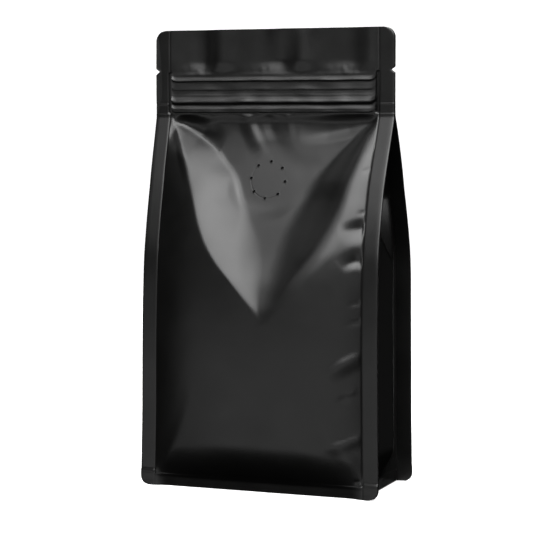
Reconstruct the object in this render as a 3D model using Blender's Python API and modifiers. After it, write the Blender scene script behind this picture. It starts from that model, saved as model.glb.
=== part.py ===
"""Stand-up pouch with a flat bottom, side gussets, a covered press-to-close zip and a degassing valve.

The pouch is shut and full, so it is one solid: a front and a back panel that meet in a flat header,
four corner fins, side gussets that fold in towards the top, and a base that hangs between two seams.
The valve is a round disc of its own, let into the front panel.  Metres, +Z up, front towards -Y.
"""
import math

import bmesh
import bpy
from mathutils import Matrix, Vector

# Overall sizes
HEIGHT = 0.2514
HALF_DEPTH = 0.02925  # middle of the base to the plane of the corner fins
HEADER_Y = -0.00575  # the flat header stands a little ahead of the middle of the base
HEADER_THICK = 0.0016
TOP_RADIUS = 0.0058
BASE_RADIUS = 0.005

# Corner fins and the seam round the base
FIN = 0.0087
FIN_THICK = 0.0011
SEAM_Z = 0.0056
SAG_REACH = 0.007  # how far in from the seam the base panel touches down

# Where the front and back lean in to meet at the header
FRONT_LEAN_Z = 0.105
BACK_LEAN_Z = 0.120
CLOSE_Z = 0.203
LEAN_POWER = 1.5

# Half width out to the fins' straight edge, by height: the film draws in a little round the full part
WAIST = ((0.0, 0.0696), (0.040, 0.0689), (0.100, 0.0684), (0.135, 0.0681), (0.165, 0.0684), (0.203, 0.0700))

# Belly of the filled panels
BELLY = 0.010
BELLY_ROUND_Z = 0.034  # height over which the belly swells from the seam
BELLY_ROUND_POWER = 2.2
BELLY_SIDE_POWER = 2.0  # how blunt the belly is from side to side, at the seam
BELLY_SIDE_GAIN = 0.8  # and how much blunter it is where it is full
BELLY_TOP = ((0.150, 1.0), (0.180, 0.86), (0.195, 0.50), (0.205, 0.0))
SIDE_BELLY = 0.0022

# Side gusset: half its sheet, and where it starts to fold in
GUSSET_HALF = 0.0295
GUSSET_FOLD_Z = 0.1235
GUSSET_ROOF_Z = 0.200
GUSSET_POWER = 1.45
GUSSET_EDGE = 0.005  # first column in from the fin where the gusset lies flat
GUSSET_EDGE_SHARE = 0.3  # the same, as a share of half the depth, where the fold is narrow
GUSSET_GIVE = 0.9  # share of the front hollow's depth by which the fold's front wall gives way to it

# The hollow below the zip, by height: x of the left ridge, of the floor's two edges and of the right ridge,
# and how far the floor stands ahead of the plane of the fins
HOLLOW = (
    (0.0950, 0.007, 0.0085, 0.0095, 0.011, 0.0100),
    (0.1040, -0.006, 0.003, 0.006, 0.013, 0.0080),
    (0.1110, -0.016, 0.001, 0.007, 0.016, 0.0058),
    (0.1230, -0.028, 0.000, 0.012, 0.027, 0.0026),
    (0.1400, -0.041, -0.003, 0.022, 0.041, -0.0009),
    (0.1570, -0.046, -0.009, 0.028, 0.046, -0.0034),
    (0.1700, -0.049, -0.014, 0.034, 0.049, -0.0044),
    (0.1800, -0.051, -0.022, 0.036, 0.051, -0.0042),
    (0.1870, -0.053, -0.029, 0.037, 0.053, -0.0035),
    (0.1950, -0.057, -0.040, 0.041, 0.057, -0.0020),
    (0.2030, -0.060, -0.050, 0.050, 0.060, 0.0000),
)

# Zip ribs that stand out under the film: (low edge, high edge, how far they stand out)
ZIP_RIBS = ((0.2062, 0.2098, 0.0011), (0.2114, 0.2160, 0.0018), (0.2196, 0.2256, 0.0010))
ZIP_END = 0.0012  # the ribs are crushed flat this near the fins
ZIP_ROUND = 0.8  # power of the ribs' sine profile: below 1 is blunter

# Tear notches in both edges
NOTCH_Z = 0.2286
NOTCH_DEPTH = 0.0021
NOTCH_HALF = 0.0016

# Valve
VALVE_X = 0.0
VALVE_Z = 0.1694
VALVE_RADIUS = 0.0115
VALVE_THICK = 0.0014
VALVE_TILT = math.radians(13.0)
VALVE_FLAT = 0.0124  # the film lies flat out to here round the valve
VALVE_BLEND = 0.0206  # and has its own form again from here
RING_INNER = 0.0086  # the low ring round the disc's face, where the holes are
RING_OUTER = 0.0110
RING_RISE = 0.0002
RING_SLOPE = 0.0004
VALVE_HOLES = 8
HOLE_RING = 0.010
HOLE_RADIUS = 0.0007
HOLE_DEPTH = 0.0008
GAP = 0.0003

# Mesh density
PANEL_COLUMNS = 34
COLUMN_CROWD = 0.38  # share by which the columns crowd towards the fins
LOW_ROWS = (0.008, 0.012, 0.017, 0.024, 0.033, 0.044, 0.056, 0.069, 0.082)
HIGH_ROW_FROM = 0.091
HIGH_ROW_STEP = 0.0045
HIGH_ROWS = 25
RIB_STEPS = 4
CORNER_ANGLES = (0, 30, 50, 70, 90)
VALVE_SIDES = 48
HOLE_SIDES = 10
SHARP_ANGLE = math.radians(35.0)


def smooth(t):
    t = min(max(t, 0.0), 1.0)
    return t * t * (3.0 - 2.0 * t)


def along(points, z, item=1):
    """Value of column `item` at height z, in straight lines between the rows of a short table."""
    if z <= points[0][0]:
        return points[0][item]
    for low, high in zip(points, points[1:]):
        if z <= high[0]:
            t = (z - low[0]) / (high[0] - low[0])
            return low[item] + (high[item] - low[item]) * t
    return points[-1][item]


def lean(z, start):
    """1 where a panel is upright, 0 where it has met the header."""
    t = min(max((z - start) / (CLOSE_Z - start), 0.0), 1.0)
    return 1.0 - t ** LEAN_POWER


def front_fin(z):
    return HEADER_Y - HEADER_THICK / 2 - (HALF_DEPTH + HEADER_Y) * lean(z, FRONT_LEAN_Z)


def back_fin(z):
    return HEADER_Y + HEADER_THICK / 2 + (HALF_DEPTH - HEADER_Y) * lean(z, BACK_LEAN_Z)


def waist(z):
    """Half width out to the straight edge of the fins."""
    return along(WAIST, z)


def edge(z):
    """Half width of the true outline: rounded corners and the tear notches."""
    x = waist(z)
    if z < BASE_RADIUS:
        x -= BASE_RADIUS - math.sqrt(BASE_RADIUS ** 2 - (BASE_RADIUS - z) ** 2)
    rise = z - (HEIGHT - TOP_RADIUS)
    if rise > 0.0:
        x -= TOP_RADIUS - math.sqrt(max(TOP_RADIUS ** 2 - rise ** 2, 0.0))
    return x - NOTCH_DEPTH * max(0.0, 1.0 - abs(z - NOTCH_Z) / NOTCH_HALF)


def panel_edge(z):
    return waist(z) - FIN


def belly(x, z):
    """How far a filled panel swells out from the plane of its fins."""
    u = min(abs(x) / panel_edge(z), 1.0)
    rise = min(max((z - SEAM_Z) / BELLY_ROUND_Z, 0.0), 1.0)
    swell = (1.0 - (1.0 - rise) ** BELLY_ROUND_POWER) * along(BELLY_TOP, z)
    return BELLY * swell * (1.0 - u ** (BELLY_SIDE_POWER + BELLY_SIDE_GAIN * rise))


def hollow(x, z):
    """How far a point is down into the hollow under the zip: 0 on its ridges, 1 on its floor."""
    if not HOLLOW[0][0] < z < HOLLOW[-1][0]:
        return 0.0
    left, floor_left, floor_right, right = (along(HOLLOW, z, item) for item in range(1, 5))
    if x < floor_left:
        return smooth((x - left) / (floor_left - left))
    if x > floor_right:
        return smooth((right - x) / (right - floor_right))
    return 1.0


def hollow_floor(z):
    """How far the hollow's floor stands ahead of the plane of the fins, or behind it."""
    return along(HOLLOW, z, 5)


def zip_relief(x, z):
    ends = smooth((panel_edge(z) - abs(x)) / ZIP_END)
    relief = 0.0
    for low, high, proud in ZIP_RIBS:
        if low < z < high:
            relief = proud * math.sin(math.pi * (z - low) / (high - low)) ** ZIP_ROUND
    return relief * ends


def film_front(x, z):
    down = hollow(x, z)
    return front_fin(z) - belly(x, z) * (1.0 - down) - hollow_floor(z) * down - zip_relief(x, z)


def valve_centre():
    return Vector((VALVE_X, film_front(VALVE_X, VALVE_Z), VALVE_Z))


def front_y(x, z):
    """Front panel, pressed flat where the valve sits behind it."""
    centre = valve_centre()
    flat = centre.y + (z - centre.z) * math.tan(VALVE_TILT)
    away = math.hypot(x - centre.x, z - centre.z)
    blend = smooth((away - VALVE_FLAT) / (VALVE_BLEND - VALVE_FLAT))
    return flat + (film_front(x, z) - flat) * blend


def back_y(x, z):
    """Back panel: the same belly, and an even hollow that stays clear of the folded gussets."""
    down = (hollow(x, z) + hollow(-x, z)) / 2
    return back_fin(z) + belly(x, z) * (1.0 - down) + max(hollow_floor(z), 0.0) * down


def gusset_section(z):
    """Half section of a side gusset, from its fin to its middle: (inward depth, y from the middle)."""
    half = (back_fin(z) - front_fin(z)) / 2 - FIN_THICK
    t = min(max((z - GUSSET_FOLD_Z) / (CLOSE_Z - GUSSET_FOLD_Z), 0.0), 1.0)
    slant = GUSSET_HALF * t ** GUSSET_POWER
    flat = GUSSET_HALF - slant
    depth = math.sqrt(max(slant ** 2 - (half - flat) ** 2, 0.0))
    crease = min(flat, half - min(GUSSET_EDGE, half * GUSSET_EDGE_SHARE))
    swell = SIDE_BELLY * (1.0 - t) ** 3
    points = [(0.0, half), (depth * 0.5, (half + crease) / 2), (depth, crease), (depth, crease * 0.5), (depth, 0.0)]
    return [(inward - swell * (1.0 - (y / half) ** 2), y) for inward, y in points]


def heights():
    """Heights of the loft's rows, close together where the outline or the relief turns."""
    arc = [1.0 - math.cos(math.radians(a)) for a in CORNER_ANGLES]
    rows = [BASE_RADIUS * a for a in arc] + [SEAM_Z, *LOW_ROWS]
    rows += [HIGH_ROW_FROM + HIGH_ROW_STEP * i for i in range(HIGH_ROWS)]
    rows += [GUSSET_ROOF_Z, CLOSE_Z]
    for low, high, _ in ZIP_RIBS:
        rows += [low + (high - low) * i / RIB_STEPS for i in range(RIB_STEPS + 1)]
    rows += [NOTCH_Z - NOTCH_HALF, NOTCH_Z, NOTCH_Z + NOTCH_HALF, (NOTCH_Z + HEIGHT) / 2]
    rows += [HEIGHT - TOP_RADIUS * a for a in arc]
    return sorted(set(round(z, 5) for z in rows))


def columns(z):
    """x of the loft's columns at one height: fin edge, panel, fin edge."""
    inner = panel_edge(z)
    panel = []
    for i in range(PANEL_COLUMNS + 1):
        t = 2.0 * i / PANEL_COLUMNS - 1.0
        crowded = math.sin(t * math.pi / 2)
        panel.append(inner * (t + COLUMN_CROWD * (crowded - t)))
    return [-edge(z)] + panel + [edge(z)]


def patch(bm, grid):
    """Quads across a grid of vertices."""
    for row, above in zip(grid, grid[1:]):
        for j in range(len(row) - 1):
            bm.faces.new((row[j], row[j + 1], above[j + 1], above[j]))


def side_chain(bm, z, sign):
    """Vertices from the front fin's edge, round the gusset, to the back fin's edge."""
    middle = (front_fin(z) + back_fin(z)) / 2
    half = gusset_section(z)
    pushed = max(-hollow_floor(z), 0.0) * GUSSET_GIVE
    around = [(d, pushed * smooth(d / FIN) - y) for d, y in half] + [(d, y) for d, y in reversed(half[:-1])]
    points = [(panel_edge(z) - d, middle + y) for d, y in around]
    points = [(edge(z), points[0][1])] + points + [(edge(z), points[-1][1])]
    return [bm.verts.new((sign * x, y, z)) for x, y in points]


def base_sag(x, y, inner):
    """Height of the base panel: hung from its seam, flat on the ground in the middle."""
    to_side = inner - abs(x)
    to_seam = HALF_DEPTH + HEADER_THICK / 2 - FIN_THICK - abs(y)
    near = min(to_side, to_seam) / SAG_REACH
    return SEAM_Z * max(0.0, 1.0 - near) ** 2


def loft_pouch():
    bm = bmesh.new()
    zs = heights()
    seam = zs.index(round(SEAM_Z, 5))
    roof = zs.index(round(GUSSET_ROOF_Z, 5))
    last = len(zs) - 1

    def sheet(surface, rows):
        return [[bm.verts.new((x, surface(x, z), z)) for x in columns(z)] for z in rows]

    front = sheet(front_y, zs)
    back = sheet(back_y, zs)
    patch(bm, front)
    patch(bm, back)

    # Inner faces of the two seams under the base
    front_in = sheet(lambda x, z: front_fin(z) + FIN_THICK, zs[:seam + 1])
    back_in = sheet(lambda x, z: back_fin(z) - FIN_THICK, zs[:seam + 1])
    for outer, inner in ((front, front_in), (back, back_in)):
        patch(bm, inner)
        patch(bm, [outer[0], inner[0]])

    # Side gussets with the inner faces of their fins
    borders = {}
    for sign, end, base in ((1, -1, -2), (-1, 0, 1)):
        first = side_chain(bm, zs[seam], sign)
        ends = (front_in[seam][end], front_in[seam][base], back_in[seam][base], back_in[seam][end])
        for place, kept in zip((0, 1, -2, -1), ends):
            bm.verts.remove(first[place])
            first[place] = kept
        chains = [first] + [side_chain(bm, z, sign) for z in zs[seam + 1:roof + 1]]
        patch(bm, chains)
        borders[sign] = first[1:-1]
        inner_front = [row[end] for row in front_in[:seam]] + [chain[0] for chain in chains]
        inner_back = [row[end] for row in back_in[:seam]] + [chain[-1] for chain in chains]
        patch(bm, [[row[end] for row in front[:roof + 1]], inner_front])
        patch(bm, [[row[end] for row in back[:roof + 1]], inner_back])
        # Roof of the fold, then the header's edge above it
        bm.faces.new(chains[-1])
        bm.faces.new((front[roof][end], chains[-1][0], chains[-1][-1], back[roof][end],
                      back[roof + 1][end], front[roof + 1][end]))
        patch(bm, [[row[end] for row in front[roof + 1:]], [row[end] for row in back[roof + 1:]]])
    patch(bm, [front[last], back[last]])

    # Base panel between the seams
    xs = columns(zs[seam])[1:-1]
    floor = [front_in[seam][1:-1]]
    for k in range(1, len(borders[1]) - 1):
        y = borders[1][k].co.y
        inside = [bm.verts.new((x, y, base_sag(x, y, xs[-1]))) for x in xs[1:-1]]
        floor.append([borders[-1][k]] + inside + [borders[1][k]])
    floor.append(back_in[seam][1:-1])
    patch(bm, floor)

    bmesh.ops.recalc_face_normals(bm, faces=bm.faces)
    bmesh.ops.triangulate(bm, faces=[f for f in bm.faces if len(f.verts) > 4])
    mesh = bpy.data.meshes.new("pouch")
    bm.to_mesh(mesh)
    bm.free()
    return mesh


def make_material(name, colour, roughness):
    material = bpy.data.materials.new(name)
    material.use_nodes = True
    shader = material.node_tree.nodes["Principled BSDF"]
    shader.inputs["Base Color"].default_value = (*colour, 1.0)
    shader.inputs["Roughness"].default_value = roughness
    shader.inputs["Metallic"].default_value = 0.0
    return material


def add_object(name, mesh, collection, material=None):
    obj = bpy.data.objects.new(name, mesh)
    collection.objects.link(obj)
    if material:
        mesh.materials.append(material)
    mesh.shade_smooth()
    mesh.set_sharp_from_angle(angle=SHARP_ANGLE)
    return obj


def add_cylinder(name, radius, depth, sides, collection, places=((0.0, 0.0, 0.0),)):
    """Closed cylinders about the Z axis, joined in one mesh, with their centres at `places`."""
    bm = bmesh.new()
    for place in places:
        bmesh.ops.create_cone(bm, cap_ends=True, segments=sides, radius1=radius, radius2=radius, depth=depth,
                              matrix=Matrix.Translation(place))
    mesh = bpy.data.meshes.new(name)
    bm.to_mesh(mesh)
    bm.free()
    return add_object(name, mesh, collection)


def cut(obj, cutter):
    cutter.hide_render = True
    cutter.display_type = "WIRE"
    modifier = obj.modifiers.new("cut_" + cutter.name, "BOOLEAN")
    modifier.operation = "DIFFERENCE"
    modifier.solver = "EXACT"
    modifier.object = cutter


def turned_valve(collection, material):
    """The valve disc: a profile turned about Z, face up, with a low ring where the holes are."""
    bm = bmesh.new()
    profile = [(0.0, 0.0), (RING_INNER, 0.0), (RING_INNER + RING_SLOPE, RING_RISE), (RING_OUTER, RING_RISE),
               (VALVE_RADIUS, -RING_RISE), (VALVE_RADIUS, -VALVE_THICK), (0.0, -VALVE_THICK)]
    verts = [bm.verts.new((x, 0.0, z)) for x, z in profile]
    for a, b in zip(verts, verts[1:]):
        bm.edges.new((a, b))
    mesh = bpy.data.meshes.new("valve")
    bm.to_mesh(mesh)
    bm.free()
    valve = add_object("valve", mesh, collection, material)
    screw = valve.modifiers.new("turn", "SCREW")
    screw.steps = screw.render_steps = VALVE_SIDES
    screw.use_merge_vertices = True
    screw.merge_threshold = 0.00001
    screw.use_smooth_shade = True
    return valve


def main():
    for obj in list(bpy.data.objects):
        bpy.data.objects.remove(obj)
    parts = bpy.data.collections.new("stand_up_pouch")
    cutters = bpy.data.collections.new("cutters")
    for collection in (parts, cutters):
        bpy.context.scene.collection.children.link(collection)

    film = make_material("black_film", (0.020, 0.020, 0.021), 0.38)
    plastic = make_material("black_valve", (0.024, 0.024, 0.025), 0.45)

    pouch = add_object("pouch", loft_pouch(), parts, film)
    seat = Matrix.Translation(valve_centre()) @ Matrix.Rotation(math.pi / 2 - VALVE_TILT, 4, "X")

    pocket = add_cylinder("valve_pocket", VALVE_RADIUS + GAP, 2 * (VALVE_THICK + GAP), VALVE_SIDES, cutters)
    pocket.matrix_world = seat
    cut(pouch, pocket)

    valve = turned_valve(parts, plastic)
    valve.matrix_world = seat
    angles = [2 * math.pi * i / VALVE_HOLES for i in range(VALVE_HOLES)]
    places = [(HOLE_RING * math.sin(a), HOLE_RING * math.cos(a), 0.0) for a in angles]
    holes = add_cylinder("valve_holes", HOLE_RADIUS, 2 * HOLE_DEPTH, HOLE_SIDES, cutters, places)
    holes.matrix_world = seat
    cut(valve, holes)


main()
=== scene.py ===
import math

import bmesh
import bpy
from mathutils import Matrix, Vector, noise


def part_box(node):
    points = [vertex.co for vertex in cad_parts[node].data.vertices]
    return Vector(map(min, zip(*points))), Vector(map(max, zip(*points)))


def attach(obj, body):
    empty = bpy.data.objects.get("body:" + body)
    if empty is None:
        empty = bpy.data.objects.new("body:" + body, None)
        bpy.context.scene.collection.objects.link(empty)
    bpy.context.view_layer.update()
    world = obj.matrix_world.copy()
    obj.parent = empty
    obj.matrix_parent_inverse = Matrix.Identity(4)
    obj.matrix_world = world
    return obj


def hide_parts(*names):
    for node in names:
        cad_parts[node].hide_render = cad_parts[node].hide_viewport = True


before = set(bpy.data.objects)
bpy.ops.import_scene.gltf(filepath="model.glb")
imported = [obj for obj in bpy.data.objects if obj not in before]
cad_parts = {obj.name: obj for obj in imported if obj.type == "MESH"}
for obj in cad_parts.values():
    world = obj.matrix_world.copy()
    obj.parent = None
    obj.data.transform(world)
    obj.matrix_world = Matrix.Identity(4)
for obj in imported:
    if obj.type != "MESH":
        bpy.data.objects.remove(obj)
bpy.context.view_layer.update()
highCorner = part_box("pouch")[1]
valveLow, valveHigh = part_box("valve")

# The film is made of five webs, as on the real pouch: front, back, two side gussets and a base.
# Each is a flat grid that the form below bends into place, and then a thin closed sheet.
# Metres, +Z up, the front faces -Y.

pouch = {
    "height": highCorner.z,
    "halfWidth": highCorner.x,
    "headerY": -0.00575,
    "headerThick": 0.0016,
    "topRadius": 0.0058,
    "baseRadius": 0.005,
    "fin": 0.0087,
    "seamZ": 0.0056,
    "belly": 0.010,
    "bellySidePower": 2.0,  # how blunt the belly is from side to side, at the seam
    "bellySideGain": 0.8,  # and how much blunter where it is full
    "bellyRoundZ": 0.0225,
    "bellyArch": 0.45,  # the rounding is lower towards the sides by this share
    "bellyRoundPower": 2.2,
    "notchZ": 0.2286,
    "notchDepth": 0.0021,
    "notchHalf": 0.0016,
    "film": 0.00045,  # thickness of one web with its laminate
}

# half width over the fins at each height
waistRows = (
    (0.0, 0.0696), (0.040, 0.0689), (0.100, 0.0684), (0.135, 0.0681), (0.165, 0.0684),
    (0.203, pouch["halfWidth"]),
)

# how far the front and back fins stand away from the header at each height
frontRows = (
    (0.000, 0.0239), (0.020, 0.0236), (0.040, 0.0234), (0.080, 0.0233), (0.100, 0.0229), (0.120, 0.0219),
    (0.130, 0.0209), (0.140, 0.0191), (0.150, 0.0169), (0.160, 0.0144), (0.170, 0.0116), (0.180, 0.0083),
    (0.190, 0.0047), (0.200, 0.0012), (0.2045, 0.0), (0.260, 0.0),
)
backRows = (
    (0.000, 0.0350), (0.115, 0.0350), (0.130, 0.0336), (0.140, 0.0309), (0.150, 0.0273), (0.160, 0.0233),
    (0.170, 0.0190), (0.180, 0.0142), (0.190, 0.0088), (0.200, 0.0026), (0.2045, 0.0), (0.260, 0.0),
)

# how much of the belly is left towards the zip
bellyRows = (
    (0.000, 1.0), (0.150, 1.0), (0.165, 0.95), (0.180, 0.83), (0.190, 0.64), (0.197, 0.38), (0.2015, 0.10),
    (0.2036, 0.0), (0.260, 0.0),
)

# Hollow below the zip: height, left ridge, floor from, floor to, right ridge, floor ahead of the header,
# share of the right wall that is rounded at its ridge, share of the left wall that is rounded at the floor
hollowRows = (
    (0.0930, 0.0045, 0.0055, 0.0065, 0.0100, 0.0332, 0.50, 0.50),
    (0.0990, 0.0015, 0.0052, 0.0065, 0.0160, 0.0325, 0.50, 0.50),
    (0.1050, -0.0035, 0.0050, 0.0065, 0.0215, 0.0311, 0.50, 0.55),
    (0.1160, -0.0135, 0.0052, 0.0070, 0.0322, 0.0280, 0.52, 0.64),
    (0.1260, -0.0225, 0.0045, 0.0080, 0.0420, 0.0238, 0.50, 0.56),
    (0.1370, -0.0300, 0.0005, 0.0104, 0.0500, 0.0185, 0.46, 0.44),
    (0.1475, -0.0348, -0.0062, 0.0140, 0.0540, 0.0135, 0.38, 0.26),
    (0.1580, -0.0384, -0.0115, 0.0190, 0.0556, 0.0093, 0.33, 0.18),
    (0.1690, -0.0428, -0.0160, 0.0242, 0.0566, 0.0061, 0.31, 0.15),
    (0.1775, -0.0461, -0.0232, 0.0312, 0.0574, 0.0038, 0.30, 0.16),
    (0.1860, -0.0505, -0.0310, 0.0396, 0.0584, 0.0020, 0.30, 0.20),
    (0.1950, -0.0556, -0.0450, 0.0496, 0.0595, 0.0007, 0.30, 0.36),
    (0.2005, -0.0590, -0.0570, 0.0560, 0.0608, 0.0002, 0.30, 0.40),
    (0.2040, -0.0602, -0.0596, 0.0600, 0.0612, 0.0000, 0.30, 0.40),
)
hollowSoft = {  # the other two shares are the same at every height
    "leftRidge": 0.07,
    "rightFloor": 0.58,
}


def clamp(t):
    return min(max(t, 0.0), 1.0)


def smooth(t):
    t = clamp(t)
    return t * t * (3.0 - 2.0 * t)


def ramp(t, start, end):  # from 0 to 1, straight, with the shares start and end of it rounded
    t = clamp(t)
    slope = 1.0 / (1.0 - (start + end) / 2)
    if t < start:
        return slope * t * t / (2.0 * start)
    if t > 1.0 - end:
        return 1.0 - slope * (1.0 - t) ** 2 / (2.0 * end)
    return slope * (t - start / 2)


def along(rows, z, item=1):  # straight lines between the rows of a short table
    if z <= rows[0][0]:
        return rows[0][item]
    for below, above in zip(rows, rows[1:]):
        if z <= above[0]:
            t = (z - below[0]) / (above[0] - below[0])
            return below[item] + (above[item] - below[item]) * t
    return rows[-1][item]


def curved(rows, z, item=1):  # the same rows joined by a smooth curve
    if z <= rows[0][0] or z >= rows[-1][0]:
        return along(rows, z, item)
    n = next(i for i in range(len(rows) - 1) if z <= rows[i + 1][0])
    near = [rows[max(0, min(len(rows) - 1, n + k))] for k in (-1, 0, 1, 2)]
    step = near[2][0] - near[1][0]
    slopes = [(b[item] - a[item]) / (b[0] - a[0]) for a, b in ((near[0], near[2]), (near[1], near[3]))]
    t = (z - near[1][0]) / step
    start, end = near[1][item], near[2][item]
    return ((2 * t ** 3 - 3 * t ** 2 + 1) * start + (3 * t ** 2 - 2 * t ** 3) * end
            + (t ** 3 - 2 * t ** 2 + t) * step * slopes[0] + (t ** 3 - t ** 2) * step * slopes[1])


headerFront = pouch["headerY"] - pouch["headerThick"] / 2
headerBack = pouch["headerY"] + pouch["headerThick"] / 2


def frontFin(z):
    return headerFront - curved(frontRows, z)


def backFin(z):
    return headerBack + curved(backRows, z)


def panelEdge(z):
    return along(waistRows, z) - pouch["fin"]


def outline(z):  # half width with the rounded corners and the tear notches
    x = along(waistRows, z)
    low = pouch["baseRadius"] - z
    if low > 0.0:
        x -= pouch["baseRadius"] - math.sqrt(pouch["baseRadius"] ** 2 - low ** 2)
    rise = z - (pouch["height"] - pouch["topRadius"])
    if rise > 0.0:
        x -= pouch["topRadius"] - math.sqrt(max(pouch["topRadius"] ** 2 - rise ** 2, 0.0))
    return x - pouch["notchDepth"] * max(0.0, 1.0 - abs(z - pouch["notchZ"]) / pouch["notchHalf"])


def belly(x, z):
    u = clamp(abs(x) / panelEdge(z))
    arch = 1.0 - pouch["bellyArch"] * u ** 2
    rise = clamp((z - pouch["seamZ"]) / (pouch["bellyRoundZ"] * arch))
    swell = (1.0 - (1.0 - rise) ** pouch["bellyRoundPower"]) * curved(bellyRows, z)
    return pouch["belly"] * swell * (1.0 - u ** (pouch["bellySidePower"] + pouch["bellySideGain"] * rise))


def hollow(x, z):  # 0 on the ridges of the hollow, 1 on its floor
    if not hollowRows[0][0] < z < hollowRows[-1][0]:
        return 0.0
    left, floorLeft, floorRight, right = (curved(hollowRows, z, item) for item in range(1, 5))
    if x < floorLeft:
        return ramp((x - left) / (floorLeft - left), hollowSoft["leftRidge"], curved(hollowRows, z, 7))
    if x > floorRight:
        return ramp((right - x) / (right - floorRight), curved(hollowRows, z, 6), hollowSoft["rightFloor"])
    return 1.0


# the covered zip, as relief on the front web
zipPack = {
    "bottom": 0.2052,
    # height above the bottom, how far the film stands out
    "profile": (
        (0.0000, 0.00035), (0.0006, 0.00035), (0.0010, 0.00085), (0.0020, 0.00080), (0.0030, 0.00078),
        (0.0034, 0.00050), (0.0044, 0.00030), (0.0049, 0.00030), (0.0061, 0.00162), (0.0067, 0.00168),
        (0.0070, 0.00160), (0.0080, 0.00098), (0.0092, 0.00070), (0.0106, 0.00056), (0.0108, 0.00050),
        (0.0126, 0.00036), (0.0132, 0.00068), (0.0150, 0.00048), (0.0153, 0.00046), (0.0166, 0.00034),
        (0.0174, 0.00032), (0.0180, 0.00098), (0.0184, 0.00100), (0.0193, 0.00045), (0.0201, 0.00026),
        (0.0216, 0.00012), (0.0230, 0.00000),
    ),
    "curl": 0.0030,  # the ribs' ends turn up by this
    "curlReach": 0.0062,  # over this length
    "wander": 0.00022,  # the ribs run a little up and down
    "wanderWaves": (60.0, 30.0),  # waves in a metre, across and up
    "wanderSeed": 3.0,
    "uneven": 0.40,  # and stand out by a share more or less
    "unevenWaves": (90.0, 160.0),
    "unevenSeed": 8.0,
    "ribsFrom": 0.78,  # shares of a groove's width: where the ribs start,
    "grooveFall": 0.58,  # how long its outer side is
    "grooveRise": 0.18,  # and its inner side
    "grooveRound": 0.001,  # its ends are rounded over this
    "grooveOut": (0.0014, 0.0002),  # the grooves at the ribs' ends start in the fins by this, left and right
    "groove": (0.0025, 0.0016),  # and are this wide
    "grooveDepth": 0.0014,
    "top": 0.2282,
    "curlRoom": 0.004,  # the ribs curl up to this above the top
    "tuck": 0.0006,  # below the zip the film hangs back by this
    "tuckReach": 0.0055,
    "tuckFade": 3.5,
}


def waves(x, z, scale, seed):  # smooth noise, with its waves in a metre across and up
    return noise.noise(Vector((x * scale[0], seed, z * scale[1])))


def zipRelief(x, z):
    side = 0 if x < 0.0 else 1
    inset = panelEdge(z) + zipPack["grooveOut"][side] - abs(x)
    if inset < 0.0 or not zipPack["bottom"] <= z < zipPack["top"] + zipPack["curlRoom"]:
        return 0.0
    curl = zipPack["curl"] * smooth(1.0 - inset / zipPack["curlReach"]) ** 2
    wander = zipPack["wander"] * waves(x, z, zipPack["wanderWaves"], zipPack["wanderSeed"])
    uneven = 1.0 + zipPack["uneven"] * waves(x, z, zipPack["unevenWaves"], zipPack["unevenSeed"])
    proud = along(zipPack["profile"], z - curl - wander - zipPack["bottom"]) * uneven
    covered = smooth((z - zipPack["bottom"]) / zipPack["grooveRound"])
    covered *= smooth((zipPack["top"] - z) / zipPack["grooveRound"])
    across = inset / zipPack["groove"][side]
    ends = smooth((across - zipPack["ribsFrom"]) / (1.0 - zipPack["ribsFrom"]))
    dip = min(clamp(across / zipPack["grooveFall"]), clamp((1.0 - across) / zipPack["grooveRise"]))
    return proud * ends - zipPack["grooveDepth"] * covered * dip


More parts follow.
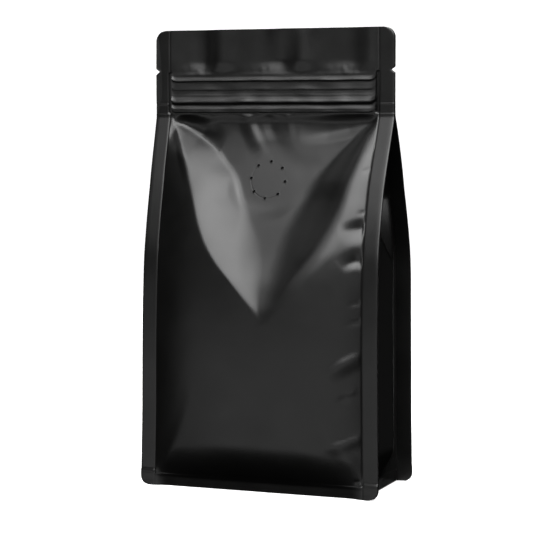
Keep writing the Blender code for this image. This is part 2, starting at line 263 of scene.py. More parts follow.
# Folds in the front web: reach on the upper or left side and on the other, sharpness of the line from 0 to 1,
# and the line itself as x, z and how far it stands out, in millimetres
frontFolds = (
    # the film below the zip's ends, and the buckles between them
    (10.0, 15.0, 0.0, ((-57.5, 203.0, 0.0), (-54.0, 200.4, -1.4), (-49.0, 197.4, -2.2), (-42.0, 193.9, -2.2),
                       (-35.0, 190.2, -1.0), (-29.0, 186.5, 0.0))),
    (4.0, 5.0, 0.0, ((-42.0, 166.0, 0.0), (-44.4, 173.0, 0.3), (-48.6, 182.0, 0.6), (-53.5, 192.0, 0.7),
                     (-57.0, 199.0, 0.4), (-59.0, 203.0, 0.0))),
    (6.5, 13.0, 0.1, ((62.0, 203.0, 0.0), (54.0, 200.4, -0.8), (44.0, 197.5, -1.2), (32.0, 195.0, -0.9),
                      (16.0, 193.0, 0.0))),
    (3.0, 3.5, 0.3, ((-34.0, 205.2, 0.30), (-34.5, 200.0, 0.15), (-35.0, 194.0, 0.0))),
    (5.0, 7.0, 0.15, ((-14.5, 205.2, 0.75), (-13.0, 198.0, 0.75), (-9.5, 191.5, 0.5), (-5.5, 185.5, 0.18),
                      (-3.0, 181.0, 0.0))),
    (5.5, 6.0, 0.2, ((-2.0, 205.2, -0.40), (-0.5, 197.0, -0.40), (3.0, 191.0, -0.2), (8.0, 186.0, 0.0))),
    (4.5, 5.5, 0.5, ((9.5, 205.2, 0.45), (9.5, 199.0, 0.30), (11.0, 193.0, 0.12), (13.0, 188.0, 0.0))),
    # buckles beside the right fin
    (1.7, 1.3, 0.5, ((53.5, 173.3, 0.0), (57.0, 174.6, -0.22), (61.4, 176.4, -0.15))),
    (1.8, 1.8, 0.6, ((55.0, 152.3, 0.0), (58.0, 152.6, -0.28), (60.6, 152.9, -0.3))),
    (6.0, 9.0, 0.4, ((46.5, 142.4, 0.0), (52.0, 143.6, -0.8), (57.0, 144.4, -1.2), (60.4, 144.6, -0.9))),
    (8.0, 5.0, 0.5, ((49.0, 123.0, 0.0), (53.0, 126.1, -0.8), (56.0, 127.2, -1.2), (60.2, 126.0, -0.8))),
    (2.6, 3.2, 0.3, ((52.0, 104.0, 0.0), (55.5, 105.0, -0.3), (59.0, 105.6, -0.3), (60.5, 105.6, 0.0))),
    (2.6, 3.0, 0.3, ((50.0, 93.0, 0.0), (54.5, 94.5, -0.3), (59.0, 95.6, -0.3), (60.5, 95.6, 0.0))),
    (4.4, 7.5, 0.1, ((42.0, 65.0, 0.0), (46.0, 69.0, 0.45), (51.0, 72.6, 0.80), (56.0, 75.4, 0.7),
                     (60.4, 76.6, 0.3))),
    (1.8, 2.6, 0.3, ((52.0, 56.8, 0.0), (55.4, 58.2, 0.36), (58.4, 59.2, 0.0))),
    (3.4, 3.4, 0.2, ((46.0, 50.0, 0.0), (50.0, 53.0, -0.3), (55.0, 56.0, 0.0))),
    (3.0, 6.0, 0.2, ((39.0, 26.6, 0.0), (45.0, 28.0, 0.35), (52.0, 30.2, 0.58), (57.0, 32.2, 0.5),
                     (60.4, 33.4, 0.2))),
    (1.3, 1.6, 0.3, ((57.8, 8.4, 0.0), (59.4, 8.0, 0.45), (60.6, 7.4, 0.2))),
    (1.2, 2.2, 0.4, ((55.5, 9.8, 0.0), (58.0, 9.6, -0.4), (60.0, 9.0, 0.0))),
    # soft creases out to the bottom corners
    (7.0, 7.0, 0.2, ((-59.0, 8.0, 0.0), (-52.0, 15.0, 0.45), (-43.5, 31.7, 0.3), (-37.0, 48.0, 0.12),
                     (-34.0, 66.0, 0.0))),
    (6.0, 6.0, 0.2, ((59.0, 10.0, 0.0), (53.9, 20.1, 0.4), (43.5, 31.7, 0.3), (35.0, 41.0, 0.0))),
)
millimetre = 0.001
foldWear = {
    "height": 0.5,  # a sharp fold of this height is fully worn
    "reach": 0.9,  # and the wear ends this far from its line
}


def foldRelief(x, z, folds):  # sum of the folds at a point, and how worn the film is there
    x, z = x / millimetre, z / millimetre
    relief, wear = 0.0, 0.0
    for above, below, sharp, line in folds:
        reach = max(above, below)
        if not min(p[0] for p in line) - reach < x < max(p[0] for p in line) + reach:
            continue
        if not min(p[1] for p in line) - reach < z < max(p[1] for p in line) + reach:
            continue
        nearest = None
        for a, b in zip(line, line[1:]):
            dx, dz = b[0] - a[0], b[1] - a[1]
            t = clamp(((x - a[0]) * dx + (z - a[1]) * dz) / (dx * dx + dz * dz))
            away = math.hypot(x - a[0] - dx * t, z - a[1] - dz * t)
            if nearest is None or away < nearest[0]:
                side = dx * (z - a[1]) - dz * (x - a[0])
                nearest = (away, above if side > 0.0 else below, a[2] + (b[2] - a[2]) * t)
        away, reach, height = nearest
        if away < reach:
            s = away / reach
            relief += height * ((1.0 - smooth(s)) * (1.0 - sharp) + (1.0 - s) ** 2 * sharp)
            worn = sharp * min(abs(height) / foldWear["height"], 1.0)
            wear = max(wear, worn * (1.0 - smooth(away / foldWear["reach"])))
    return relief * millimetre, wear


# Soft waves of the open film above the zip: x, forward near the zip, forward at the top, in millimetres
headerWaves = (
    (-70.0, 0.0, -0.2), (-61.0, 0.1, -0.1), (-50.0, -0.4, -0.5), (-41.0, -1.0, -0.8), (-36.0, -0.1, 0.0),
    (-31.0, 0.9, 0.6), (-26.0, 0.75, 0.5), (-20.0, 0.2, 0.2), (-12.0, -0.2, -0.1), (-4.0, -0.6, -0.5),
    (2.0, -0.9, 0.1), (6.0, -0.9, 0.6), (11.0, 0.0, 0.8), (16.0, 0.9, 0.7), (22.0, 0.5, 0.3),
    (30.0, -0.1, 0.1), (39.0, -0.4, -0.2), (47.0, -0.5, -0.3), (55.0, 0.5, 0.5), (60.0, 0.2, 0.4),
    (70.0, 0.0, 0.2),
)
header = {
    "waveFrom": 0.2262,  # the waves start at this height
    "waveFull": 0.2345,  # and are full from this one
    "amount": 1.25,
    "crumple": 0.00014,  # small puckers where the film comes off the zip
    "crumpleAt": 0.2290,
    "crumpleReach": 0.0042,
    "crumpleSize": 0.0026,
    "crumpleTall": 2.4,  # puckers are taller than wide by this
    "crumpleTop": 0.012,
    "crumpleSeed": 21.0,
    "patch": 0.028,  # puckers come in patches of about this size
    "patchSharp": 1.6,
    "patchSeed": 31.0,
    "shoulder": 0.00012,  # the film leans back from the zip
    "shoulderUp": 0.002,
    "shoulderReach": 0.0055,
}


def waveRelief(x, z):
    if z < header["waveFrom"]:
        return 0.0
    low = curved(headerWaves, x / millimetre, 1)
    high = curved(headerWaves, x / millimetre, 2)
    rise = clamp((z - header["waveFull"]) / (pouch["height"] - header["waveFull"]))
    start = smooth((z - header["waveFrom"]) / (header["waveFull"] - header["waveFrom"]))
    return header["amount"] * millimetre * start * (low + (high - low) * rise)


def crumpleRelief(x, z):
    if not header["waveFrom"] < z < header["waveFrom"] + header["crumpleTop"]:
        return 0.0
    near = smooth(1.0 - abs(z - header["crumpleAt"]) / header["crumpleReach"])
    tall = header["crumpleSize"] * header["crumpleTall"]
    spot = Vector((x / header["crumpleSize"], header["crumpleSeed"], z / tall))
    patches = noise.noise(Vector((x / header["patch"], header["patchSeed"], 0.0)))
    patches = smooth(0.5 + header["patchSharp"] * patches)
    above = abs(z - header["waveFrom"] - header["shoulderUp"]) / header["shoulderReach"]
    lean = header["shoulder"] * smooth(1.0 - above)
    return (header["crumple"] * near * noise.noise(spot) + lean) * patches


seals = {
    "flangeTop": 0.0072,  # the film is welded flat to the base below this
    "flangeProud": 0.0003,
    "tuck": 0.0014,  # and leans in by this at the bottom
    "ledge": 0.0006,
    "flare": 0.0020,  # the corners of the base turn out by this
    "flareTop": 0.0100,
    "flarePower": 1.5,
    "flareInside": 0.008,  # the flare starts this far in from the fin
    "flareWide": 0.010,
    "finGroove": 0.00018,
    "finGrooveHalf": 0.0006,
    "turn": 0.0006,  # both fins face a little to the left
    "edgeRoll": 0.0002,
    "edgeRollWide": 0.0006,
    # lines across the fins where the welding bars overlapped: height, how far they stand out, half width
    "marks": ((0.0078, 0.00045, 0.0011), (0.0325, 0.00018, 0.0005), (0.2049, 0.00018, 0.0005),
              (0.2104, 0.00018, 0.0005)),
}


def flangeRelief(z):
    above = (z - seals["flangeTop"] + seals["ledge"]) / seals["ledge"]
    return seals["flangeProud"] * (1.0 - smooth(above))


def sealRelief(x, z):
    proud = flangeRelief(z) - seals["tuck"] * clamp(1.0 - z / seals["flangeTop"])
    edge = panelEdge(z)
    inset = abs(x) - edge
    proud -= seals["finGroove"] * max(0.0, 1.0 - abs(inset) / seals["finGrooveHalf"])
    flare = clamp(1.0 - z / seals["flareTop"]) ** seals["flarePower"]
    proud += seals["flare"] * flare * smooth((inset + seals["flareInside"]) / seals["flareWide"])
    if inset > 0.0:
        left = outline(z) - abs(x)
        proud += math.copysign(seals["turn"], x) * inset / pouch["fin"]
        proud -= seals["edgeRoll"] * max(0.0, 1.0 - left / seals["edgeRollWide"]) ** 2
        for mark, high, half in seals["marks"]:
            proud += high * max(0.0, 1.0 - abs(z - mark) / half)
    return proud


# film is never quite flat: seed, size and height of its unevenness
unevenFilm = {
    "front": (0.0, 0.030, 0.00010),
    "frontFine": (4.0, 0.010, 0.000022),
    "back": (7.0, 0.030, 0.00014),
    "gusset": (11.0, 0.028, 0.00025),
    "fineShare": 0.5,
    "fineScale": 2.3,
}


def unevenness(x, z, seed, size, height):
    spot = Vector((x / size, seed, z / size))
    fine = noise.noise(spot * unevenFilm["fineScale"])
    return height * (noise.noise(spot) + unevenFilm["fineShare"] * fine)


valveSeat = {
    "x": (valveLow.x + valveHigh.x) / 2,
    "z": (valveLow.z + valveHigh.z) / 2,
    "tilt": math.radians(15.0),
    "flat": 0.0112,  # the film lies flat on the valve up to this radius
    "blend": 0.0230,  # and follows the pouch again from this one
    "holes": 8,
    "firstHole": math.radians(85.0),
    "ring": 0.010,
    "holeRadius": 0.00085,
    "lip": 0.00003,
    "lipWide": 0.0005,
    "groove": 0.00005,
    "grooveHalf": 0.0004,
    "pressedLeast": 0.25,  # the groove is deepest at the lower left
    "pressedDown": 0.6,
    "pressedLeft": 0.35,
    "fineFrom": 0.0086,  # the web has finer faces between these radii
    "fineTo": 0.0115,
    "fineMargin": 0.001,
    "fineCuts": 4,
}


def holePlaces():
    step = 2 * math.pi / valveSeat["holes"]
    return [(valveSeat["x"] + valveSeat["ring"] * math.cos(valveSeat["firstHole"] + i * step),
             valveSeat["z"] + valveSeat["ring"] * math.sin(valveSeat["firstHole"] + i * step))
            for i in range(valveSeat["holes"])]


def valveRelief(x, z):
    away = math.hypot(x - valveSeat["x"], z - valveSeat["z"])
    if not valveSeat["fineFrom"] < away < valveSeat["fineTo"]:
        return 0.0
    turn = math.atan2(z - valveSeat["z"], x - valveSeat["x"])
    least = valveSeat["pressedLeast"]
    lowLeft = valveSeat["pressedDown"] * math.sin(turn) + valveSeat["pressedLeft"] * math.cos(turn)
    pressed = least + (1.0 - least) * smooth(0.5 - lowLeft)
    groove = max(0.0, 1.0 - abs(away - valveSeat["ring"]) / valveSeat["grooveHalf"])
    relief = -valveSeat["groove"] * pressed * groove
    for hx, hz in holePlaces():
        d = math.hypot(x - hx, z - hz) - valveSeat["holeRadius"]
        if d < valveSeat["lipWide"]:
            relief += valveSeat["lip"] * smooth(1.0 - abs(d) / valveSeat["lipWide"])
    return relief


def formFront(x, z):
    down = hollow(x, z)
    high = curved(frontRows, z) + belly(x, z)
    return headerFront - high * (1.0 - down) - curved(hollowRows, z, 5) * down


# how far in from the fins the details of the front web have faded in
fadeIn = {
    "folds": 0.0015,
    "foldsBelowZip": 0.0018,
    "puckers": 0.003,
    "tuck": 0.004,
}


def frontY(x, z):
    seat = formFront(valveSeat["x"], valveSeat["z"])
    flat = seat + (z - valveSeat["z"]) * math.tan(valveSeat["tilt"])
    away = math.hypot(x - valveSeat["x"], z - valveSeat["z"])
    blend = smooth((away - valveSeat["flat"]) / (valveSeat["blend"] - valveSeat["flat"]))
    form = flat + (formFront(x, z) - flat) * blend
    inside = panelEdge(z) - abs(x)
    folds, wear = foldRelief(x, z, frontFolds) if inside > 0.0 else (0.0, 0.0)
    folds *= smooth(inside / fadeIn["folds"]) * smooth((zipPack["bottom"] - z) / fadeIn["foldsBelowZip"])
    under = 0.0
    if z < zipPack["bottom"]:  # the film hangs back a little below the zip
        below = (zipPack["bottom"] - z) / zipPack["tuckReach"]
        under = zipPack["profile"][0][1] * smooth(1.0 - below)
        under -= zipPack["tuck"] * smooth(below) * smooth(1.0 - (below - 1.0) / zipPack["tuckFade"])
    relief = zipRelief(x, z) + folds + waveRelief(x, z) + sealRelief(x, z) + valveRelief(x, z)
    relief += crumpleRelief(x, z) * smooth(inside / fadeIn["puckers"])
    relief += (unevenness(x, z, *unevenFilm["front"]) + unevenness(x, z, *unevenFilm["frontFine"])) * blend
    return form - relief - under * smooth(inside / fadeIn["tuck"]), wear


def backY(x, z):
    down = (hollow(x, z) + hollow(-x, z)) / 2
    floor = max(curved(hollowRows, z, 5) - curved(frontRows, z), 0.0) + curved(backRows, z)
    high = curved(backRows, z) + belly(x, z)
    relief = sealRelief(x, z) - waveRelief(x, z) + unevenness(x, z, *unevenFilm["back"])
    return headerBack + high * (1.0 - down) + floor * down + relief, 0.0


# rows and columns of the front and back webs
sheetGrid = {
    # up to this height, rows this far apart
    "frontRows": ((0.0066, 0.0008), (0.0074, 0.0003), (0.012, 0.0008), (0.095, 0.0015), (0.150, 0.0011),
                  (0.2048, 0.00095), (0.2245, 0.00036), (0.2300, 0.0005), (0.2340, 0.0008),
                  (0.2456, 0.0012), (pouch["height"], 0.0006)),
    "backRows": ((0.0066, 0.0010), (0.0074, 0.0003), (0.012, 0.0010), (0.2040, 0.0018), (0.2270, 0.0013),
                 (0.2300, 0.0004), (0.2456, 0.0016), (pouch["height"], 0.0006)),
    "frontColumns": 132,
    "backColumns": 90,
    "finShares": (0.0, 0.035, 0.07, 0.30, 0.55, 0.81, 0.835, 0.86, 0.91, 0.96, 1.0),
    "crowd": 0.22,  # how much closer together the columns are towards the fins
    "beside": (0.004, 0.0083, 0.0125, 0.020, 0.032),  # further columns beside each fin
    "besideGap": 0.004,
    "sharpFrom": math.radians(50.0),  # edges that turn by more are shaded sharp
}


def rowHeights(steps, special):
    rows = [0.0]
    for top, step in steps:
        start = rows[-1]
        count = max(1, round((top - start) / step))
        rows += [start + (top - start) * (i + 1) / count for i in range(count)]
    for z in special:  # the nearest row moves onto each line that has to be sharp
        nearest = min(range(len(rows)), key=lambda i: abs(rows[i] - z))
        rows[nearest] = z
    return rows


def columnShares(count):  # -1 to 1 across a panel, closer together towards the fins
    shares = []
    for i in range(count + 1):
        t = 2.0 * i / count - 1.0
        crowded = math.sin(t * math.pi / 2)
        shares.append(t + sheetGrid["crowd"] * (crowded - t))
    beside = [side * (1.0 - share) for share in sheetGrid["beside"] for side in (-1, 1)]
    free = 1.0 - sheetGrid["beside"][-1] - sheetGrid["besideGap"]
    kept = [s for s in shares if abs(s) == 1.0 or abs(s) < free]
    return sorted(kept + beside)


def panelX(column, shares, z):  # x of a column at height z: fin, panel, fin
    fins = sheetGrid["finShares"]
    across, last = len(fins) - 1, len(shares) - 1
    inner, outer = panelEdge(z), outline(z)
    if column < across:
        return -outer + (outer - inner) * fins[column]
    if column > across + last:
        return outer - (outer - inner) * fins[last + 2 * across - column]
    return inner * shares[column - across]


def gridSheet(columns, rows, place):  # a grid whose vertex (i, j) goes to place(i, j)
    bm = bmesh.new()
    worn = bm.verts.layers.float.new("wear")
    size = Matrix.Diagonal((columns / 2, rows / 2, 1.0, 1.0))
    bmesh.ops.create_grid(bm, x_segments=columns, y_segments=rows, size=1.0, matrix=size)
    for v in bm.verts:
        i = round(v.co.x + columns / 2)
        j = round(v.co.y + rows / 2)
        v.co, v[worn] = place(i, j)
    return bm


def faceOut(bm, towards):  # turns an open sheet's faces to the side that shows
    bmesh.ops.recalc_face_normals(bm, faces=bm.faces)
    facing = sum(f.normal.dot(towards) * f.calc_area() for f in bm.faces)
    if facing < 0.0:
        bmesh.ops.reverse_faces(bm, faces=bm.faces)


def thicken(piece, thick):  # a closed sheet: the web's thickness goes behind the side that shows
    solid = piece.modifiers.new("web", "SOLIDIFY")
    solid.thickness = thick
    solid.offset = -1.0
    solid.use_even_offset = False
    shown = piece.evaluated_get(bpy.context.evaluated_depsgraph_get())
    mesh = bpy.data.meshes.new_from_object(shown)
    piece.modifiers.clear()
    piece.data = mesh


def addPiece(name, bm, material, slot, *nodes, thick=0.0):
    mesh = bpy.data.meshes.new(name)
    bm.to_mesh(mesh)
    bm.free()
    mesh.materials.append(material)
    piece = bpy.data.objects.new(name, mesh)
    bpy.context.scene.collection.objects.link(piece)
    if thick:
        thicken(piece, thick)
    piece.data.shade_smooth()
    piece.data.set_sharp_from_angle(angle=sheetGrid["sharpFrom"])
    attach(piece, "root")
    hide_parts(*nodes)
    return piece


def newGroup(name, inputs, outputs):
    group = bpy.data.node_groups.new(name, "ShaderNodeTree")
    for label, kind in inputs:
        group.interface.new_socket(label, in_out="INPUT", socket_type=kind)
    for label, kind in outputs:
        group.interface.new_socket(label, in_out="OUTPUT", socket_type=kind)
    return group, group.nodes.new("NodeGroupInput"), group.nodes.new("NodeGroupOutput")


filmTexture = {
    "fineDetail": 2.0,
    "cloudDetail": 3.0,
    "cloudRoughness": 0.55,
    "cloudFrom": 0.3,
    "cloudTo": 0.7,
    "rubScale": 900.0,
    "rubDetail": 3.0,
}


def makeGrainGroup():  # fine skin of the laminate, and its broad matt and smoother clouds
    group, given, made = newGroup(
        "filmGrain",
        (("Vector", "NodeSocketVector"), ("Grain Scale", "NodeSocketFloat"),
         ("Cloud Scale", "NodeSocketFloat"), ("Smooth", "NodeSocketFloat"), ("Matt", "NodeSocketFloat")),
        (("Roughness", "NodeSocketFloat"), ("Height", "NodeSocketFloat")))
    nodes, links = group.nodes, group.links
    fine = nodes.new("ShaderNodeTexNoise")
    fine.inputs["Detail"].default_value = filmTexture["fineDetail"]
    cloud = nodes.new("ShaderNodeTexNoise")
    cloud.inputs["Detail"].default_value = filmTexture["cloudDetail"]
    cloud.inputs["Roughness"].default_value = filmTexture["cloudRoughness"]
    links.new(given.outputs["Vector"], fine.inputs["Vector"])
    links.new(given.outputs["Vector"], cloud.inputs["Vector"])
    links.new(given.outputs["Grain Scale"], fine.inputs["Scale"])
    links.new(given.outputs["Cloud Scale"], cloud.inputs["Scale"])
    spread = nodes.new("ShaderNodeMapRange")
    spread.inputs["From Min"].default_value = filmTexture["cloudFrom"]
    spread.inputs["From Max"].default_value = filmTexture["cloudTo"]
    links.new(cloud.outputs["Fac"], spread.inputs["Value"])
    links.new(given.outputs["Smooth"], spread.inputs["To Min"])
    links.new(given.outputs["Matt"], spread.inputs["To Max"])
    links.new(spread.outputs["Result"], made.inputs["Roughness"])
    links.new(fine.outputs["Fac"], made.inputs["Height"])
    return group


def makeWearGroup():  # greyer, rougher film along its folds, broken up by noise
    group, given, made = newGroup(
        "creaseWear",
        (("Vector", "NodeSocketVector"), ("Fold", "NodeSocketFloat"), ("Colour", "NodeSocketColor"),
         ("Worn Colour", "NodeSocketColor"), ("Roughness", "NodeSocketFloat"),
         ("Worn Roughness", "NodeSocketFloat")),
        (("Colour", "NodeSocketColor"), ("Roughness", "NodeSocketFloat")))
    nodes, links = group.nodes, group.links
    rub = nodes.new("ShaderNodeTexNoise")
    rub.inputs["Scale"].default_value = filmTexture["rubScale"]
    rub.inputs["Detail"].default_value = filmTexture["rubDetail"]
    links.new(given.outputs["Vector"], rub.inputs["Vector"])
    broken = nodes.new("ShaderNodeMath")
    broken.operation = "MULTIPLY"
    links.new(given.outputs["Fold"], broken.inputs[0])
    links.new(rub.outputs["Fac"], broken.inputs[1])
    tint = nodes.new("ShaderNodeMix")
    tint.data_type = "RGBA"
    links.new(broken.outputs[0], tint.inputs["Factor"])
    links.new(given.outputs["Colour"], tint.inputs["A"])
    links.new(given.outputs["Worn Colour"], tint.inputs["B"])
    rough = nodes.new("ShaderNodeMix")
    links.new(broken.outputs[0], rough.inputs["Factor"])
    links.new(given.outputs["Roughness"], rough.inputs["A"])
    links.new(given.outputs["Worn Roughness"], rough.inputs["B"])
    links.new(tint.outputs["Result"], made.inputs["Colour"])
    links.new(rough.outputs["Result"], made.inputs["Roughness"])
    return group


filmFinish = {
    "colour": (0.0022, 0.0022, 0.0021, 1.0),
    "wornColour": (0.010, 0.010, 0.0095, 1.0),
    "smooth": 0.30,  # roughness of the smoothest and of the most matt clouds
    "matt": 0.36,
    "wornRoughness": 0.50,
    "grainScale": 2600.0,
    "cloudScale": 45.0,
    "bump": 0.10,
    "bumpDistance": 0.00006,
}
valveFinish = dict(filmFinish, smooth=0.42, matt=0.5, grainScale=1800.0)


def makeFilm(name, finish, grain, wear):
    material = bpy.data.materials.new(name)
    material.use_nodes = True
    nodes, links = material.node_tree.nodes, material.node_tree.links
    shader = nodes["Principled BSDF"]
    place = nodes.new("ShaderNodeTexCoord")
    skin = nodes.new("ShaderNodeGroup")
    skin.node_tree = grain
    skin.inputs["Grain Scale"].default_value = finish["grainScale"]
    skin.inputs["Cloud Scale"].default_value = finish["cloudScale"]
    skin.inputs["Smooth"].default_value = finish["smooth"]
    skin.inputs["Matt"].default_value = finish["matt"]
    links.new(place.outputs["Object"], skin.inputs["Vector"])
    fold = nodes.new("ShaderNodeAttribute")
    fold.attribute_name = "wear"
    rubbed = nodes.new("ShaderNodeGroup")
    rubbed.node_tree = wear
    rubbed.inputs["Colour"].default_value = finish["colour"]
    rubbed.inputs["Worn Colour"].default_value = finish["wornColour"]
    rubbed.inputs["Worn Roughness"].default_value = finish["wornRoughness"]
    links.new(place.outputs["Object"], rubbed.inputs["Vector"])
    links.new(fold.outputs["Fac"], rubbed.inputs["Fold"])
    links.new(skin.outputs["Roughness"], rubbed.inputs["Roughness"])
    bump = nodes.new("ShaderNodeBump")
    bump.inputs["Strength"].default_value = finish["bump"]
    bump.inputs["Distance"].default_value = finish["bumpDistance"]
    links.new(skin.outputs["Height"], bump.inputs["Height"])
    links.new(rubbed.outputs["Colour"], shader.inputs["Base Color"])
    links.new(rubbed.outputs["Roughness"], shader.inputs["Roughness"])
    links.new(bump.outputs["Normal"], shader.inputs["Normal"])
    return material


def makeStage(name, finish):
    material = bpy.data.materials.new(name)
    material.use_nodes = True
    shader = material.node_tree.nodes["Principled BSDF"]
    shader.inputs["Base Color"].default_value = (*finish["colour"], 1.0)
    shader.inputs["Roughness"].default_value = finish["roughness"]
    shader.inputs["Specular IOR Level"].default_value = finish["specular"]
    shader.inputs["Emission Color"].default_value = (1.0, 1.0, 1.0, 1.0)
    shader.inputs["Emission Strength"].default_value = finish["glow"]
    return material


def makePanel(name, rows, columns, depth, towards, pierce, material):
    notch = pouch["notchZ"]
    heights = rowHeights(rows, (notch - pouch["notchHalf"], notch, notch + pouch["notchHalf"]))
    shares = columnShares(columns)

    def place(i, j):
        x = panelX(i, shares, heights[j])
        y, wear = depth(x, heights[j])
        return Vector((x, y, heights[j])), wear

    bm = gridSheet(len(shares) - 1 + 2 * (len(sheetGrid["finShares"]) - 1), len(heights) - 1, place)
    if pierce:
        pierceHoles(bm)
    faceOut(bm, towards)
    return addPiece(name, bm, material, "film", "pouch", thick=pouch["film"])


def pierceHoles(bm):  # a fine ring of film round the valve, with its pin holes cut through
    def away(co, x, z):
        return math.hypot(co.x - x, co.z - z)

    fine = [f for f in bm.faces if valveSeat["fineFrom"] < away(
        f.calc_center_median(), valveSeat["x"], valveSeat["z"]) < valveSeat["fineTo"]]
    edges = list({e for f in fine for e in f.edges})
    bmesh.ops.subdivide_edges(bm, edges=edges, cuts=valveSeat["fineCuts"], use_grid_fill=True)
    radius = valveSeat["holeRadius"]
    fineEnd = valveSeat["fineTo"] + valveSeat["fineMargin"]
    near = [v for v in bm.verts if away(v.co, valveSeat["x"], valveSeat["z"]) < fineEnd]
    for hx, hz in holePlaces():
        inside = {v for v in near if away(v.co, hx, hz) < radius}
        cut = list({f for v in inside for f in v.link_faces})
        rim = {v for f in cut for v in f.verts} - inside
        bmesh.ops.delete(bm, geom=cut, context="FACES")
        for v in rim:
            if v.is_valid:
                scale = radius / away(v.co, hx, hz)
                v.co.x, v.co.z = hx + (v.co.x - hx) * scale, hz + (v.co.z - hz) * scale
        near = [v for v in near if v.is_valid]
    for v in near:
        v.co.y = frontY(v.co.x, v.co.z)[0]


gusset = {
    "length": 0.0305,  # from fin to middle, measured along the web
    "foldZ": 0.1255,  # the middle stands out below this and is tucked in above it
    "tuckedZ": 0.1600,  # both diagonal folds reach the fins here
    "swell": 0.0078,  # its middle stands out by this, low down
    "swellFrom": 0.005,
    "swellFull": 0.024,
    "finThick": 0.0011,
    "finShare": 0.12,  # share of the columns that lies in each fin
    "clear": 0.0008,  # room left to the front and back webs
    "softEdge": 0.006,  # its unevenness fades out over this, beside the fins
    "lift": 0.0004,  # the lowest row is this far off the ground
    # up to this height, rows this far apart
    "rows": ((0.0066, 0.0012), (0.0074, 0.0003), (0.118, 0.0030), (0.2014, 0.0016)),
    "columns": 76,
}


def gussetPoint(u, z, side):  # u from 0 at the front fin's edge to 1 at the back fin's edge
    front, back = frontFin(z), backFin(z)
    half = (back - front) / 2 - gusset["finThick"]
    inner, outer = panelEdge(z), outline(z)
    near = min(u, 1.0 - u)
    if near < gusset["finShare"]:
        y = half
        x = outer + (inner - outer) * near / gusset["finShare"]
    else:
        t = (near - gusset["finShare"]) / (0.5 - gusset["finShare"])  # 0 at the fin, 1 in the middle
        tucked = clamp((z - gusset["foldZ"]) / (gusset["tuckedZ"] - gusset["foldZ"]))
        rise = (z - gusset["swellFrom"]) / (gusset["swellFull"] - gusset["swellFrom"])
        swell = gusset["swell"] * smooth(rise)
        arm, out = half * tucked, swell * (1.0 - tucked)  # where the diagonal fold is
        length = math.hypot(half, swell) * (1.0 - tucked) + gusset["length"] * tucked
        rest = length - math.hypot(half - arm, out)
        deep = math.sqrt(max(rest ** 2 - arm ** 2, 0.0)) - out
        if t < 1.0 - tucked:
            k = t / (1.0 - tucked)
            y, proud = half + (arm - half) * k, out * k
        else:
            k = (t - 1.0 + tucked) / tucked if tucked else 1.0
            y, proud = arm * (1.0 - k), out - (out + deep) * k
        seed, size, height = unevenFilm["gusset"]
        proud += unevenness(y, z, seed * side, size, height) * smooth((half - y) / gusset["softEdge"])
        proud += flangeRelief(z)
        x = inner + proud
    y = (front + back) / 2 + (y if u > 0.5 else -y)
    if x < inner - gusset["clear"]:  # it stays between the front and the back
        low, high = frontY(side * x, z)[0] + gusset["clear"], backY(x, z)[0] - gusset["clear"]
        y = min(max(y, low), high) if low < high else (low + high) / 2
    return Vector((side * x, y, z)), 0.0


def makeGusset(name, side, material):
    rows = rowHeights(gusset["rows"], ())
    columns = gusset["columns"]

    def place(i, j):
        return gussetPoint(i / columns, max(rows[j], gusset["lift"]), side)

    bm = gridSheet(columns, len(rows) - 1, place)
    faceOut(bm, Vector((side, 0.0, 0.0)))
    return addPiece(name, bm, material, "film", "pouch", thick=pouch["film"])


base = {
    "columns": 70,
    "rows": 40,
    "deep": 0.0290,  # from the middle to the front and back seams
    "sagReach": 0.007,  # it comes down to the ground over this
}


def makeBase(material):
    inner = panelEdge(pouch["seamZ"])

    def place(i, j):
        x = inner * (2.0 * i / base["columns"] - 1.0)
        y = base["deep"] * (2.0 * j / base["rows"] - 1.0)
        near = min(inner - abs(x), base["deep"] - abs(y)) / base["sagReach"]
        return Vector((x, y, pouch["seamZ"] * max(0.0, 1.0 - near) ** 2)), 0.0

    bm = gridSheet(base["columns"], base["rows"], place)
    faceOut(bm, Vector((0.0, 0.0, -1.0)))
    return addPiece("baseWeb", bm, material, "film", "pouch", thick=pouch["film"])


valveDisc = {
    # radius, how far below its face
    "profile": ((0.0, 0.0), (0.0086, 0.0), (0.0088, 0.0011), (0.0110, 0.0011), (0.0112, 0.0),
                (0.0115, 0.0002), (0.0115, 0.0014), (0.0, 0.0014)),
    "gap": 0.0001,
    "sides": 64,
    "weld": 0.00001,
}


def spinProfile(profile, sides, weld):  # a shape turned from its outline of radius and height
    bm = bmesh.new()
    verts = [bm.verts.new((x, 0.0, z)) for x, z in profile]
    edges = [bm.edges.new(pair) for pair in zip(verts, verts[1:])]
    bmesh.ops.spin(bm, geom=verts + edges, cent=(0, 0, 0), axis=(0, 0, 1), angle=2 * math.pi, steps=sides,
                   use_merge=True)
    bmesh.ops.remove_doubles(bm, verts=bm.verts, dist=weld)
    bmesh.ops.recalc_face_normals(bm, faces=bm.faces)
    return bm


def makeValve(material):
    profile = [(radius, -down) for radius, down in valveDisc["profile"]]
    bm = spinProfile(profile, valveDisc["sides"], valveDisc["weld"])
    bm.verts.layers.float.new("wear")
    y = formFront(valveSeat["x"], valveSeat["z"]) + pouch["film"] + valveDisc["gap"]
    seat = Matrix.Translation((valveSeat["x"], y, valveSeat["z"]))
    lie = Matrix.Rotation(math.pi / 2 - valveSeat["tilt"], 4, "X")
    bmesh.ops.transform(bm, verts=bm.verts, matrix=seat @ lie)
    return addPiece("valveDisc", bm, material, "valve", "valve")


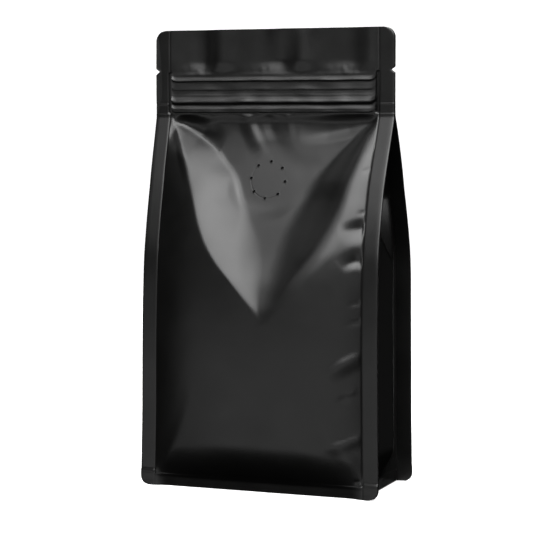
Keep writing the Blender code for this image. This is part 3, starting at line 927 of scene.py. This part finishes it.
# the pale floor that curves up into a wall, and the lights
studio = {
    "floorRings": (0.0, 0.3, 1.0),
    "floorRadius": 1.8,
    "wallRadius": 2.6,
    "wallHeight": 2.2,
    "sides": 96,
    "drop": 0.0002,  # the floor lies this far below the pouch
    "weld": 0.0001,
    "colour": (0.86, 0.86, 0.86),
    "roughness": 0.9,
    "specular": 0.1,
    "glow": 0.75,
    "sky": 0.002,
    "aim": Vector((0.0, 0.0, 0.13)),
    # azimuth and elevation seen from the pouch, distance, width, height, power
    "lights": {
        "key": (14, 33, 2.2, 1.90, 1.20, 47.0),
        "keyHigh": (46, 48, 2.2, 1.60, 1.10, 25.5),
        "keyTop": (24, 71, 2.2, 1.30, 1.45, 24.0),
        "fill": (-24, 34, 1.6, 0.70, 0.60, 2.8),
        "front": (-9, -13, 1.5, 2.60, 0.34, 3.1),
        "left": (-78, 44, 1.4, 0.6, 0.5, 0.55),
        "top": (-30, 64, 1.2, 0.5, 0.4, 3.0),
        "backKey": (218, 38, 1.5, 0.6, 0.6, 14.0),
        "backRight": (122, -10, 1.5, 0.9, 0.5, 0.08),
        "backLeft": (234, -10, 1.5, 0.9, 0.5, 1.6),
        "backLow": (180, -8, 1.5, 0.5, 0.5, 0.9),
    },
}


def makeStudio():
    floor, wall = studio["floorRadius"], studio["wallRadius"]
    profile = [(radius, 0.0) for radius in (*studio["floorRings"], floor)]
    profile += [(floor + (wall - floor) * math.sin(a), (wall - floor) * (1.0 - math.cos(a)))
                for a in (math.radians(10 * k) for k in range(1, 10))]
    profile.append((wall, studio["wallHeight"]))
    lowered = [(radius, height - studio["drop"]) for radius, height in profile]
    bm = spinProfile(lowered, studio["sides"], studio["weld"])
    bmesh.ops.reverse_faces(bm, faces=bm.faces)  # its inside shows
    mesh = bpy.data.meshes.new("studioFloor")
    bm.to_mesh(mesh)
    bm.free()
    mesh.shade_smooth()
    mesh.materials.append(makeStage("paleFloor", studio))
    bowl = bpy.data.objects.new("studioFloor", mesh)
    bpy.context.scene.collection.objects.link(bowl)
    bowl.visible_glossy = False
    bowl.visible_diffuse = False
    bowl.visible_shadow = False


def addLight(name, azimuth, elevation, distance, width, tall, power):
    light = bpy.data.lights.new(name, "AREA")
    light.shape = "RECTANGLE"
    light.size = width
    light.size_y = tall
    light.energy = power
    obj = bpy.data.objects.new(name, light)
    bpy.context.scene.collection.objects.link(obj)
    a, e = math.radians(azimuth), math.radians(elevation)
    away = Vector((math.sin(a) * math.cos(e), -math.cos(a) * math.cos(e), math.sin(e)))
    obj.location = studio["aim"] + away * distance
    obj.rotation_euler = (-away).to_track_quat("-Z", "Y").to_euler()


def makeLights():
    world = bpy.data.worlds.new("studio")
    bpy.context.scene.world = world
    world.use_nodes = True
    sky = world.node_tree.nodes["Background"]
    sky.inputs["Color"].default_value = (1.0, 1.0, 1.0, 1.0)
    sky.inputs["Strength"].default_value = studio["sky"]
    for name, values in studio["lights"].items():
        addLight(name, *values)
    bpy.context.scene.view_settings.view_transform = "Standard"


camera = {
    "place": (0.3808, -0.9778, 0.1979),
    "turn": 21.18,  # degrees, to its left
    "dip": 4.60,  # degrees, downwards
    "lens": 122.14,  # millimetres
    "sensor": 36.0,
    "near": 0.01,
}


def makeCamera():
    data = bpy.data.cameras.new("camera")
    data.lens = camera["lens"]
    data.sensor_width = camera["sensor"]
    data.clip_start = camera["near"]
    obj = bpy.data.objects.new("camera", data)
    bpy.context.scene.collection.objects.link(obj)
    obj.location = camera["place"]
    obj.rotation_euler = (math.radians(90.0 - camera["dip"]), 0.0, math.radians(camera["turn"]))
    bpy.context.scene.camera = obj


makeStudio()
makeLights()
makeCamera()
print("studio made")
grain, wear = makeGrainGroup(), makeWearGroup()
film = makeFilm("blackFilm", filmFinish, grain, wear)
valvePlastic = makeFilm("valvePlastic", valveFinish, grain, wear)
print("materials made")
makePanel("frontWeb", sheetGrid["frontRows"], sheetGrid["frontColumns"], frontY, Vector((0, -1, 0)),
          True, film)
print("front web made")
makePanel("backWeb", sheetGrid["backRows"], sheetGrid["backColumns"], backY, Vector((0, 1, 0)), False, film)
print("back web made")
makeGusset("gussetRight", 1, film)
makeGusset("gussetLeft", -1, film)
makeBase(film)
makeValve(valvePlastic)
print("gussets, base and valve made")
